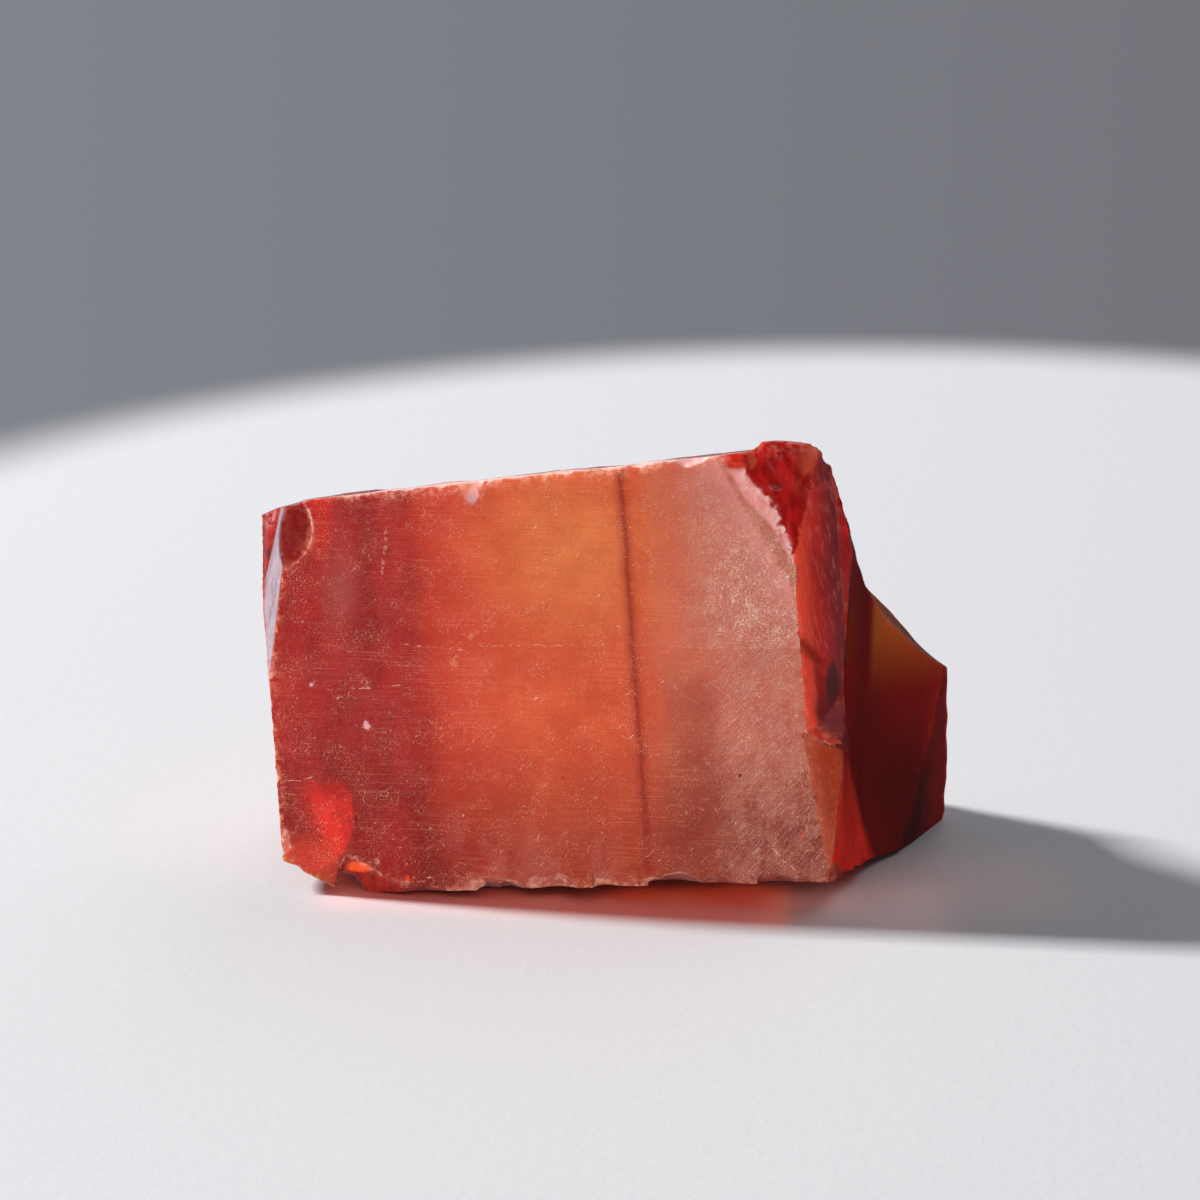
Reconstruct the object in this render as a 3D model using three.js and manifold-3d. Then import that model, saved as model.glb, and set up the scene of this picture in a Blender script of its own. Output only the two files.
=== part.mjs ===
// A raw piece of carnelian, as broken from the rough: one solid stone.
//
// The front was sawn flat and leans back. The top, the left side and the flat
// underside that the stone rests on meet it nearly square. The right side and
// the back are fractures, with the shallow hollows that chalcedony breaks into.
//
// Millimetres, +Z up, +X to the right along the sawn face, +Y towards the back.
// Places are measured from the foot of the sawn face, near its left end, and
// the finished stone is then centred over its own footprint.

import * as THREE from 'three';
import { mergeVertices } from 'three/addons/utils/BufferGeometryUtils.js';
import Module from 'manifold-3d';

const wasm = await Module();
wasm.setup();

// ---- driving dimensions ----------------------------------------------------

const SAWN_LEAN = 18; // degrees that the sawn face leans back from upright
const TOP_FALL = 17.2; // degrees that the top drops towards the back
const SAWN_LEFT = -13.5; // left end of the sawn face's top edge
const SAWN_SHOULDER = -9.4; // where the corner at the left end starts
const SAWN_MIDDLE = 4; // where the top edge changes its slope
const SAWN_RIGHT = 22.3; // where the top edge steps up to its ledge
const LEDGE_LEFT = 25.3; // left end of that ledge
const LEDGE_RIGHT = 28.3; // and its right end
const HEIGHT_LEFT = 27.1; // height of the top edge at its left end
const HEIGHT_SHOULDER = 28.5; // over the corner
const HEIGHT_MIDDLE = 30.4; // where it changes its slope
const HEIGHT_RIGHT = 32.9; // and at the step
const HEIGHT_LEDGE = 33.9; // height of the ledge
const FOOT_RIGHT = 41.3; // how far right it reaches
const FOOT_DEPTH = 25.6; // how far back the stone reaches before its hollows

const BLANK = 90; // side of the block that every face is cut from
const BLANK_MIDDLE = 15; // where that block is centred, along each axis
const FINE = 11; // cuts along each edge of the ball for a large hollow
const MEDIUM = 8; // for a middling one
const COARSE = 5; // and for a chip

// ---- cutting ---------------------------------------------------------------

const UP = new THREE.Vector3(0, 0, 1);

function vector([x, y, z]) {
  return new THREE.Vector3(x, y, z);
}

function asSolid(geometry) {
  geometry.deleteAttribute('normal');
  geometry.deleteAttribute('uv');
  const merged = mergeVertices(geometry, 1e-4);
  return new wasm.Manifold(new wasm.Mesh({
    numProp: 3,
    vertProperties: new Float32Array(merged.attributes.position.array),
    triVerts: new Uint32Array(merged.index.array),
  }));
}

// A block that lies on the outer side of a plane.
function outside({ through, facing }) {
  const turn = new THREE.Quaternion().setFromUnitVectors(UP, vector(facing).normalize());
  const block = new THREE.BoxGeometry(BLANK * 2, BLANK * 2, BLANK);
  block.translate(0, 0, BLANK / 2);
  block.applyQuaternion(turn);
  block.translate(...through);
  return asSolid(block);
}

// An ellipsoid that a flake left behind, turned by angles in degrees.
function hollow({ centre, radii, turn = [0, 0, 0], detail }) {
  const ball = new THREE.IcosahedronGeometry(1, detail);
  ball.scale(...radii);
  const angles = turn.map(THREE.MathUtils.degToRad);
  ball.applyMatrix4(new THREE.Matrix4().makeRotationFromEuler(new THREE.Euler(...angles)));
  ball.translate(...centre);
  return asSolid(ball);
}

// ---- faces -----------------------------------------------------------------

const lean = THREE.MathUtils.degToRad(SAWN_LEAN);
const fall = Math.tan(THREE.MathUtils.degToRad(TOP_FALL));

// A point of the sawn face sits back by the lean.
function onSawn(x, height) {
  return [x, height * Math.tan(lean), height];
}

// A place this far in front of the sawn face.
function inFront(x, height, gap) {
  const [, y, z] = onSawn(x, height);
  return [x, y - gap * Math.cos(lean), z + gap * Math.sin(lean)];
}

const topLeft = onSawn(SAWN_LEFT, HEIGHT_LEFT);
const topShoulder = onSawn(SAWN_SHOULDER, HEIGHT_SHOULDER);
const topMiddle = onSawn(SAWN_MIDDLE, HEIGHT_MIDDLE);
const topRight = onSawn(SAWN_RIGHT, HEIGHT_RIGHT);
const ledgeLeft = onSawn(LEDGE_LEFT, HEIGHT_LEDGE);
const ledgeRight = onSawn(LEDGE_RIGHT, HEIGHT_LEDGE);

// A top face holds its stretch of the edge and falls away behind it.
function topFacing(from, to) {
  const edge = vector(to).sub(vector(from));
  return edge.cross(new THREE.Vector3(0, 1, -fall)).toArray();
}

// Planes where a break stops: what lies beyond them is spared.
const ridge = { through: [32, 4.2, 0], facing: [0, Math.cos(lean), -Math.sin(lean)] };
const footEnd = { through: [34.6, 7.7, 0], facing: [0, Math.cos(lean), -Math.sin(lean)] };
const aboveStep = { through: onSawn(28.7, 12.9), facing: [0.35, -0.2, 1] };
const belowStep = { through: aboveStep.through, facing: [-0.35, 0.2, -1] };
const belowShoulder = { through: [34, 16, 20], facing: [0, 0, -1] };
const ledge = { through: onSawn(23.3, 33), facing: [0.62, -0.5, -0.62] };
const crack = { through: onSawn(-5.7, 2.85), facing: [-0.95, 0.1, 0.3] };

const faces = {
  sawn: { through: [0, 0, 0], facing: [0, -Math.cos(lean), Math.sin(lean)] },
  topCorner: { through: topLeft, facing: topFacing(topLeft, topShoulder) },
  topLeft: { through: topShoulder, facing: topFacing(topShoulder, topMiddle), spares: [ledge] },
  topRight: { through: topRight, facing: topFacing(topMiddle, topRight), spares: [ledge] },
  topLedge: { through: ledgeRight, facing: topFacing(ledgeLeft, ledgeRight) },
  left: { through: topLeft, facing: [-1, 0.03, -0.127] },
  rest: { through: [0, 0, 0], facing: [0, 0, -1] },
  // The front edge lifts off the table towards the right.
  frontLift: { through: [-6, 0, 0], facing: [0.062, -0.2, -1] },
  lowerLeft: { through: [-5.7, 0, 0.1], facing: [-0.39, 0.08, -0.92] },
  rightWall: { through: [FOOT_RIGHT, 18.5, 0], facing: [0.865, -0.5, 0.05] },
  back: { through: [12, FOOT_DEPTH, 4], facing: [0.04, 1, 0.14] },
  backLeft: { through: [-8, 19.5, 6], facing: [-0.62, 0.78, 0.12] },
  backRight: { through: [FOOT_RIGHT, 19.2, 4], facing: [0.62, 0.78, 0.02] },
  backUnder: { through: [14, 24, 1.5], facing: [0.1, 0.7, -0.7] },
};

const bevels = {
  leftTop: { through: onSawn(-10.9, 27.5), facing: [-0.592, -0.75, 0.295] },
  footChip: { through: onSawn(-5.7, 2.85), facing: [-0.15, -0.99, 0], spares: [crack] },
  upperRight: { through: onSawn(21.4, 32.2), facing: [0.116, -0.93, 0.38], spares: [ridge] },
  cornerChip: { through: onSawn(23.6, 32.4), facing: [0.434, -0.765, 0.476], spares: [ridge] },
  rightMiddle: { through: onSawn(28.2, 19), facing: [0.722, -0.625, 0.298], spares: [ridge, belowStep] },
  rightLower: { through: onSawn(28.7, 12.6), facing: [0.5, -0.78, 0.37], spares: [ridge, aboveStep] },
  rightFoot: { through: [34.6, 7.4, 0.3], facing: [0.893, -0.428, 0.135], spares: [footEnd, aboveStep] },
  rightCorner: { through: [30, 15.5, 31.8], facing: [0.72, -0.05, 0.69] },
  rightShoulder: { through: [30.1, 13, 31.3], facing: [0.94, -0.1, 0.31], spares: [belowShoulder] },
};

// Hollows that flakes left, from the scoop beside the ridge to edge chips.
const alongSawn = [-SAWN_LEAN, 0, 0];
const hollows = {
  frontScoop: { centre: [42.5, 9.4, 18.3], radii: [10.6, 10.6, 32], turn: alongSawn, detail: FINE },
  rearScoop: { centre: [52.5, 22.7, 33.2], radii: [23.5, 23.5, 23.5], detail: FINE },
  backScoop: { centre: [9, 62.5, 11], radii: [54, 42, 34], turn: [4, 0, 7], detail: FINE },
  backHighScoop: { centre: [4, 46.5, 33], radii: [33, 28, 20], turn: [0, 12, -6], detail: FINE },
  leftScoop: { centre: [-28.3, 20, 15], radii: [19.5, 20, 22], turn: [0, 8, 0], detail: FINE },
  leftBackScoop: { centre: [-22.5, 33.5, 9], radii: [23, 23, 25], detail: FINE },
  topScoop: { centre: [-1, 27.5, 45.6], radii: [24, 21, 22], detail: FINE },
  topBackChip: { centre: [18, 28.5, 35.5], radii: [11, 10, 10], detail: MEDIUM },
  cornerCup: { centre: [27, 8.1, 34.6], radii: [5.2, 4.2, 6.4], turn: [-SAWN_LEAN, 0, -20], detail: COARSE },
  leftScallop: { centre: inFront(-11.6, 26.2, 2.2), radii: [4, 2.75, 5], turn: alongSawn, detail: MEDIUM },
};

// ---- the stone -------------------------------------------------------------

function cut(solid, { spares = [], ...face }) {
  const block = spares.reduce((rest, spared) => rest.subtract(outside(spared)), outside(face));
  return solid.subtract(block);
}

function breakStone() {
  const blank = new THREE.BoxGeometry(BLANK, BLANK, BLANK);
  blank.translate(BLANK_MIDDLE, BLANK_MIDDLE, BLANK_MIDDLE);
  const block = Object.values({ ...faces, ...bevels }).reduce(cut, asSolid(blank));
  return Object.values(hollows).reduce((rest, flake) => rest.subtract(hollow(flake)), block);
}

function toGeometry(solid) {
  const mesh = solid.getMesh();
  const geometry = new THREE.BufferGeometry();
  geometry.setAttribute('position', new THREE.BufferAttribute(new Float32Array(mesh.vertProperties), 3));
  geometry.setIndex(new THREE.BufferAttribute(new Uint32Array(mesh.triVerts), 1));
  return geometry;
}

// The middle of the footprint becomes the origin.
function centred(geometry) {
  geometry.computeBoundingBox();
  const middle = geometry.boundingBox.getCenter(new THREE.Vector3());
  return geometry.translate(-middle.x, -middle.y, -geometry.boundingBox.min.z);
}

const stone = new THREE.Mesh(
  centred(toGeometry(breakStone())),
  new THREE.MeshStandardMaterial({ color: 0xb8492f, roughness: 0.42, metalness: 0, flatShading: true }),
);
stone.name = 'carnelian';

const specimen = new THREE.Group();
specimen.add(stone);

export default specimen;
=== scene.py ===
"""A raw piece of carnelian, sawn flat in front and broken elsewhere, on a pale table."""

import math
from itertools import product

import bmesh
import bpy
import numpy as np
from mathutils import Matrix, Vector
from mathutils.bvhtree import BVHTree
from mathutils.kdtree import KDTree


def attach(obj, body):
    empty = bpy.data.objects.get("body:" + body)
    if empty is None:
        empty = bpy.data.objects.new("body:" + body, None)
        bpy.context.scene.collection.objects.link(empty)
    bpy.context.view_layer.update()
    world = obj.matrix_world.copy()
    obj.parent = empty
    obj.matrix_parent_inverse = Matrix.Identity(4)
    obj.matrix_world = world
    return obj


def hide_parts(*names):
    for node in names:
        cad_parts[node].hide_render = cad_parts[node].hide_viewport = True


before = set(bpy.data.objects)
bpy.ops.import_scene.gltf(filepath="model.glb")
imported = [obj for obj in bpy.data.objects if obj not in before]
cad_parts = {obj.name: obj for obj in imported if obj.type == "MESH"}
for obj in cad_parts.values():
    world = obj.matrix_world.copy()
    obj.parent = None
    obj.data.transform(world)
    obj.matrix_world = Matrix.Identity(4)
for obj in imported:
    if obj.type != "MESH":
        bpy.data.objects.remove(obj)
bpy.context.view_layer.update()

# Lengths are in millimetres, except those of the lights and the table, which are in metres.
MM = 0.001
SEED = 7

# Camera: a long lens, a little above the table and rolled slightly.
ELEVATION = 20
ROLL = 2.2
LENS = 100
SENSOR = 36
CAMERA_AT = (-1.267, -243.255, 108.619)

# The table is a square sheet that fades out along a circle.
TABLE_SIZE = 0.5
TABLE_MIDDLE = (50.0, 3.0, 0.0)
TABLE_RADIUS = 146
TABLE_FADE = 9

STONE_HEART = (0, 0, 0.012)  # where the lights aim
WINDOW_AT = (-1.34, 0.48, 1.1)
RED_GLOW = (1.0, 0.08, 0.02)
PINK_GLOW = (1.0, 0.41, 0.33)

# Facings of the CAD model's bevels, which tell one broken face from another.
FACINGS = {
    "pink": (0.116, -0.93, 0.38),
    "corner": (0.434, -0.765, 0.476),
    "ridge": (0.722, -0.625, 0.298),
    "step": (0.5, -0.78, 0.37),
    "foot": (0.893, -0.428, 0.135),
    "bevel": (-0.592, -0.75, 0.295),
}
END_FACING = (0.865, -0.5, 0.05)
LEDGE_FACING = (0.35, -0.2, 1)
FAN = (12.9, -1.7, 29.7)  # where the blow fell that the corner's ridges spread from
TIP = (-25.95, -3.0, 26.9)  # inner end of the chip at the top of the left end
TIP_FACING = (-0.795, -0.535, 0.285)

SHARP_TURN = 13  # degrees between two faces, over which their edge counts as sharp
SAME_FACING = 0.9985  # cosine, over which a face counts as having a wanted facing
ON_SAWN = 0.05  # how near the sawn plane a point counts as lying on it
FOOT_TOP = 12  # height of the red end of the foot
BULGE = 0.02  # how far a vertex stands out from its neighbours to count as proud
DEEPEST_FLAKE = 0.5

# Smoothing alternates two steps: the first pair keeps the form's size, the second levels it.
KEEP_FORM = (0.5, -0.52)
LEVEL_OUT = (0.5, 0.5)

# ---- shape: tools ----


def unit(vector):
    vector = np.asarray(vector, float)
    return vector / np.linalg.norm(vector)


def grain(points, size, seed):
    """Gradient noise, about -1 to 1, with lumps of this size."""
    scaled = points / size + seed * 17.31
    cell = np.floor(scaled).astype(np.int64)
    inside = scaled - cell
    ease = inside ** 3 * (inside * (inside * 6 - 15) + 10)
    total = np.zeros(len(points))
    for corner in product((0, 1), repeat=3):
        corner = np.array(corner)
        x, y, z = (cell + corner).T
        code = (x * 73856093 ^ y * 19349663 ^ z * 83492791) & 0xFFFFFFFF
        code = (code ^ (code >> 15)) * 2246822519 & 0xFFFFFFFF
        code = (code ^ (code >> 13)) * 3266489917 & 0xFFFFFFFF
        slope = np.stack([code & 1023, code >> 10 & 1023, code >> 20 & 1023], 1) / 511.5 - 1
        share = np.where(corner, ease, 1 - ease).prod(1)
        total += share * (slope * (inside - corner)).sum(1)
    return total * 1.6


def even_mesh(node):
    """The CAD surface as small even quads that keep its edges sharp."""
    work = bpy.data.objects.new("work", node.data.copy())
    bpy.context.collection.objects.link(work)
    remesh = work.modifiers.new("even", "REMESH")
    remesh.mode = "SHARP"
    remesh.octree_depth = 8
    remesh.scale = 0.7
    graph = bpy.context.evaluated_depsgraph_get()
    mesh = bpy.data.meshes.new_from_object(work.evaluated_get(graph))
    bpy.data.objects.remove(work)
    return mesh


def mesh_points(mesh):
    points = np.empty(len(mesh.vertices) * 3)
    mesh.vertices.foreach_get("co", points)
    return points.reshape(-1, 3) / MM


def put_points(mesh, points):
    mesh.vertices.foreach_set("co", (points * MM).ravel())
    mesh.update()


def mesh_normals(mesh):
    normals = np.empty(len(mesh.vertices) * 3, np.float32)
    mesh.vertex_normals.foreach_get("vector", normals)
    return normals.reshape(-1, 3).astype(float)


def mesh_edges(mesh):
    edges = np.empty(len(mesh.edges) * 2, int)
    mesh.edges.foreach_get("vertices", edges)
    return edges.reshape(-1, 2)


def cad_facing(node, points):
    """For each point, the facing of the CAD face nearest to it."""
    tree = BVHTree.FromObject(node, bpy.context.evaluated_depsgraph_get())
    return np.array([tree.find_nearest(Vector(point * MM))[1] for point in points])


def sharp_vertices(mesh):
    """Which vertices lie on an edge whose faces turn sharply."""
    book = bmesh.new()
    book.from_mesh(mesh)
    steepest = np.zeros(len(book.verts))
    for edge in book.edges:
        turn = math.degrees(edge.calc_face_angle(0))
        for vertex in edge.verts:
            steepest[vertex.index] = max(steepest[vertex.index], turn)
    book.free()
    return steepest > SHARP_TURN


def neighbour_mean(points, edges):
    """For each vertex, the mean place of those that it shares an edge with."""
    count = np.bincount(edges.ravel(), minlength=len(points))[:, None]
    total = np.empty_like(points)
    for axis in range(3):
        total[:, axis] = np.bincount(edges[:, 0], points[edges[:, 1], axis], len(points))
        total[:, axis] += np.bincount(edges[:, 1], points[edges[:, 0], axis], len(points))
    return total / count


def relaxed(points, edges, free, rounds, steps=KEEP_FORM):
    """Smooths the free vertices."""
    points = points.copy()
    for step in steps * rounds:
        shift = neighbour_mean(points, edges) - points
        points[free] += step * shift[free]
    return points


def bulging(points, edges, normals):
    """Which vertices stand proud of their neighbours."""
    sunk = ((neighbour_mean(points, edges) - points) * normals).sum(1)
    return sunk < -BULGE


def distance_to(points, chosen):
    """Distance from each point to the nearest of the chosen ones."""
    tree = KDTree(len(chosen))
    for index, point in enumerate(chosen):
        tree.insert(point, index)
    tree.balance()
    return np.array([tree.find(point)[2] for point in points])


def split_near(mesh, near):
    """Halves the edges of the faces whose vertices are all marked as near."""
    book = bmesh.new()
    book.from_mesh(mesh)
    book.verts.ensure_lookup_table()
    faces = [face for face in book.faces if all(near[vertex.index] for vertex in face.verts)]
    edges = list({edge for face in faces for edge in face.edges})
    bmesh.ops.subdivide_edges(book, edges=edges, cuts=1, use_grid_fill=True)
    book.to_mesh(mesh)
    book.free()


def flake(points, ragged, centre, radii, axes, start, limit, spared=None):
    """Pushes the surface out of a ragged ellipsoid, as far as a limit from the start."""
    local = (points + ragged - centre) @ axes / radii
    reach = np.linalg.norm(local, axis=1)
    inside = (reach < 1) & (np.linalg.norm(points - start, axis=1) < limit)
    if spared is not None:
        inside &= ~spared
    moved = local[inside] / np.maximum(reach[inside, None], 1e-6)
    shift = moved * radii @ axes.T + centre - ragged[inside] - points[inside]
    length = np.maximum(np.linalg.norm(shift, axis=1), 1e-6)
    points[inside] += shift * np.minimum(1, DEEPEST_FLAKE / length)[:, None]


# ---- shape: the smoothed block ----

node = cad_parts["carnelian"]
stone_mesh = even_mesh(node)
dice = np.random.default_rng(SEED)

# The sawn face: the CAD facing that covers the most area in front.
areas = {}
for polygon in node.data.polygons:
    key = tuple(round(part, 3) for part in polygon.normal)
    areas[key] = areas.get(key, 0) + polygon.area
front = unit(max((key for key in areas if key[1] < -0.9), key=areas.get))
LEAN = math.atan2(front[2], -front[1])
foot = min(
    (node.data.vertices[index].co / MM for polygon in node.data.polygons
     if np.dot(polygon.normal, front) > 0.9999 for index in polygon.vertices),
    key=lambda corner: corner[2],
)
FOOT_Y = foot[1] - foot[2] * math.tan(LEAN)


def behind(points):
    """How deep each point lies behind the sawn face."""
    return (points[:, 1] - FOOT_Y) * math.cos(LEAN) - points[:, 2] * math.sin(LEAN)


def has_facing(facing, wanted):
    return facing @ unit(wanted) > SAME_FACING


def on_ledge(points, facing):
    """Which points lie on the cuts that meet at the lip under the ridge."""
    level = np.abs(facing @ unit(LEDGE_FACING)) > 0.995
    return level & (points[:, 0] > 11) & (points[:, 2] < 16)


points = mesh_points(stone_mesh)
edges = mesh_edges(stone_mesh)
facing = cad_facing(node, points)
depth = behind(points)
sharp = sharp_vertices(stone_mesh)


def meeting(first, second):
    """Sharp vertices where two groups of points meet."""
    found = sharp.copy()
    gaps = [distance_to(points[sharp], points[faces & ~sharp]) for faces in (first, second)]
    found[sharp] = np.maximum(*gaps) < 0.6
    return found


# Some edges are worn round: inside the red end of the foot, at the right end, at the top
# and along the back of the lip.
x, _, z = points.T
foot_face = has_facing(facing, FACINGS["foot"]) & (z < FOOT_TOP)
end_face = has_facing(facing, END_FACING)
scooped = (x > 14) & (depth > 1) & (facing[:, 0] > 0.7) & ~foot_face & ~end_face
top_end = (x > 11) & (z > 29.5) & (depth > 1.5)
lip_gap = distance_to(points, points[on_ledge(points, facing)])
inner_foot = meeting(foot_face, scooped) & (z > 0.8)
inner_lip = (lip_gap < 0.6) & (depth > 0.4)
sharp &= ~(inner_foot | meeting(end_face, scooped) | top_end | inner_lip)
points = relaxed(points, edges, ~sharp, 30)
x, _, z = points.T
foot_end = (x > 16.5) & (facing[:, 0] > 0.7) & (depth > 2) & (depth < 8) & (z > 0.8) & (z < 11.5)
points = relaxed(points, edges, foot_end, 60, LEVEL_OUT)
points = relaxed(points, edges, (lip_gap < 1.5) & (depth > 0.5), 10, LEVEL_OUT)
put_points(stone_mesh, points)

# Finer quads along the rim of the sawn face.
rim = sharp & (np.abs(behind(points)) < ON_SAWN)
split_near(stone_mesh, distance_to(points, points[rim]) < 1.1)

# ---- shape: zones ----

points = mesh_points(stone_mesh)
edges = mesh_edges(stone_mesh)
x, y, z = points.T  # they follow every change made in place to the points
normals = mesh_normals(stone_mesh)
facing = cad_facing(node, points)
depth = behind(points)
sharp = sharp_vertices(stone_mesh)
rim = sharp & (np.abs(depth) < ON_SAWN)
rim_gap = distance_to(points, points[rim])
edge_gap = distance_to(points, points[sharp])
on_front = facing @ front > 0.999
sawn = np.clip(1 - np.abs(depth) / 0.04, 0, 1) * on_front
resting = (facing[:, 2] < -0.999) & (z < 0.02)
proud = bulging(points, edges, normals)

zones = {name: has_facing(facing, wanted) & (depth < 4.4) for name, wanted in FACINGS.items()}
zones["foot"] = has_facing(facing, FACINGS["foot"]) & (z < FOOT_TOP) & (x < 20.7)
zones["corner"] |= (
    (x > 8.5) & (z > 26) & (depth > 0.04) & (depth < 5)
    & (facing[:, 2] < 0.8) & (facing[:, 1] < 0.1) & ~zones["pink"] & ~zones["ridge"]
)
zones["wall"] = (x > 17) & (depth > 3) & (facing[:, 1] < 0.5)
for name in ("ridge", "foot", "step", "corner"):
    zones["wall"] &= ~zones[name]

# ---- shape: broken faces, rim and flakes ----

# Broken faces swell and dip, with ripples that spread from where each blow fell.
broken = (1 - sawn) * ~resting
swell = 0.16 * grain(points, 7.0, 1) + 0.07 * grain(points, 2.6, 2) + 0.02 * grain(points, 0.9, 3)
blows = [
    ((17.5, -1.0, 31.5), 11.0, 1.6, 0.05),
    ((-26.0, 4.0, 22.0), 22.0, 2.7, 0.07),
    ((8.0, 13.0, 2.0), 30.0, 3.6, 0.09),
    ((27.0, 6.0, 6.0), 22.0, 3.0, 0.05),
    ((-8.0, 4.0, 30.0), 20.0, 3.1, 0.06),
]
for centre, reach, pitch, height in blows:
    far = np.linalg.norm(points - centre, axis=1)
    wave = np.sin(2 * math.pi * (far + 0.5 * grain(points, 3.0, 9)) / (pitch * (0.6 + far / reach)))
    swell += height * wave * np.exp(-((far / reach) ** 2)) * np.clip(far / 3, 0, 1)

# Hackles fan out over the top right corner and the ridge under it.
spoke = points - FAN
far = np.linalg.norm(spoke, axis=1)
turn = np.arctan2(spoke[:, 2], spoke[:, 0] + 0.4 * spoke[:, 1])
rays = grain(np.stack([turn * 3.2, far / 7, turn * 0], 1), 1.0, 5)
fine_rays = grain(np.stack([turn * 9, far / 5, turn * 0], 1), 1.0, 6)
fanned = (zones["corner"] | zones["ridge"]) * np.clip(far / 2.5, 0, 1) * np.exp(-((far / 12) ** 2))
swell += fanned * (0.3 * rays + 0.1 * fine_rays)

# All of it dies away towards the rim of the sawn face and the lip.
ledge_gap = distance_to(points, points[on_ledge(points, facing)])
calm = np.clip(rim_gap / 1.2, 0, 1) * np.clip(ledge_gap / 1.5, 0, 1)
points += normals * (swell * broken * calm)[:, None]

# The rim of the sawn face has crumbled a little, except at the top of its left end.
left_corner = (x < -21) & (z > 16)
left_top = (x < -21) & (z > 13) & (y < 4)
by_foot_chip = (x > -23.5) & (x < -12.5) & (z < 4.5)
kept_rim = resting | left_corner | by_foot_chip
crumb = np.exp(-((rim_gap / 0.22) ** 2)) * (0.07 + 0.07 * grain(points, 0.33, 11)) * ~kept_rim
points -= normals * np.clip(crumb, 0, 0.16)[:, None]

# Flakes come off the rim of the sawn face and off the other edges.


def jags(size, first_seed):
    """Noise with its own seed along each axis."""
    return np.stack([grain(points, size, first_seed + axis) for axis in range(3)], 1)


fine_jags = 0.16 * jags(1.4, 31) + 0.05 * jags(0.5, 41)
coarse_jags = 0.4 * jags(2.6, 51) + 1.5 * fine_jags


def chip_edges(candidates, count, radius, bite, limit=3.0, spared=None, ragged=fine_jags):
    """Takes flakes off at random candidates. Radius and bite are ranges in millimetres."""
    for index in dice.choice(np.flatnonzero(candidates), count):
        outward = unit(normals[index] + 0.3 * dice.normal(size=3))
        side = unit(np.cross(outward, dice.normal(size=3)))
        axes = np.stack([outward, side, np.cross(outward, side)], 1)
        reach = dice.uniform(*radius) * np.array([1, dice.uniform(0.5, 1), dice.uniform(0.5, 1)])
        centre = points[index] + outward * (reach[0] - dice.uniform(*bite))
        flake(points, ragged, centre, reach, axes, points[index].copy(), limit, spared)


ends = (x < -21) | (x > 8)
right_side = ((x > 8) & (y < 6)) | (x > 20)
foot_rim = rim & (z < 3) & (x < 15)
others = sharp & proud & ~rim & ~resting & (rim_gap > 1)
kept_face = depth < ON_SAWN
chip_edges(rim & ~ends, 120, (0.5, 1.5), (0.02, 0.08))
chip_edges(rim & ends & ~left_corner & ~by_foot_chip, 50, (0.4, 1.0), (0.02, 0.06))
chip_edges(rim & (x > 8) & (z > 9), 12, (0.3, 0.7), (0.02, 0.06))
chip_edges(foot_rim & ~by_foot_chip, 34, (1.8, 5.0), (0.08, 0.26))
others &= ~right_side & ~left_top
chip_edges(others, 90, (1.2, 3.0), (0.05, 0.16), spared=kept_face)
chip_edges(others, 70, (3.0, 10.0), (0.1, 0.32), 4.5, kept_face, coarse_jags)
chip_edges(sharp & proud & zones["corner"], 14, (1.0, 2.4), (0.04, 0.14), 2.0, spared=kept_face)
teeth = sharp & (distance_to(points, points[zones["pink"]]) < 0.4) & (depth > 0.15)
chip_edges(teeth, 26, (0.5, 1.2), (0.08, 0.28), 1.4, spared=kept_face)

# Single flakes off the sawn face leave a notch in its top edge.
along_face = np.stack([(1, 0, 0), front, np.cross((1, 0, 0), front)], 1)


def on_face(x, height, gap=0.0):
    """A place on the sawn face, or this far in front of it."""
    rise = height * math.cos(LEAN) + gap * math.sin(LEAN)
    return np.array([x, FOOT_Y + height * math.sin(LEAN) - gap * math.cos(LEAN), rise])


for along, height, gap, reach in [
    (-11.3, 30.9, 1.0, (0.8, 1.25, 1.7)),
    (-11.0, 32.2, 0.9, (1.2, 1.3, 1.2)),
]:
    start = on_face(along, height)
    centre = on_face(along, height, gap)
    flake(points, fine_jags, centre, np.array(reach), along_face, start, 3)

# A flat chip off the top of the left end.
beyond = np.maximum((points - TIP) @ unit(TIP_FACING), 0) * (x < -25) * (z > 18)
points -= beyond[:, None] * unit(TIP_FACING)

points[:, 2] = np.maximum(z, 0)
put_points(stone_mesh, points)

foot_chip = by_foot_chip & (depth > 0.03) & (depth < 2)
pink_end = distance_to(points, points[(zones["corner"] | zones["ridge"]) & (depth > 0.1)])

# Numbers stored on the mesh, which tell the material where each look belongs.
painted = {
    "rim": np.exp(-rim_gap / np.where(left_corner | by_foot_chip, 0.16, 0.45)),
    "bruise": np.exp(-rim_gap / 1.1) * ~(left_corner | foot_chip) * ((x < 8.5) | on_front),
    "foot_chip": foot_chip,
    "step_top": np.clip(1.2 - ledge_gap / 0.4, 0, 1) * (depth > 0.1),
    "near_pink": np.exp(-distance_to(points, points[zones["pink"]]) / 1.2) * on_front,
    "edge": np.exp(-edge_gap / 0.7),
    "pink_end": np.exp(-pink_end / 0.5) * zones["pink"],
    "top_rim": np.exp(-rim_gap / 1.6) * (facing[:, 2] > 0.8) * (z > 20),
    **zones,
    "wall": zones["wall"] * np.clip((0.38 - facing[:, 1]) / 0.3, 0, 1),
}
for name, values in painted.items():
    layer = stone_mesh.attributes.new(name, "FLOAT", "POINT")
    layer.data.foreach_set("value", values.astype(np.float32))

for polygon in stone_mesh.polygons:
    polygon.use_smooth = True
stone_mesh.set_sharp_from_angle(angle=math.radians(30))
stone = bpy.data.objects.new("raw_carnelian", stone_mesh)
bpy.context.collection.objects.link(stone)
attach(stone, "root")
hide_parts("carnelian")

# ---- material: tools ----


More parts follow.
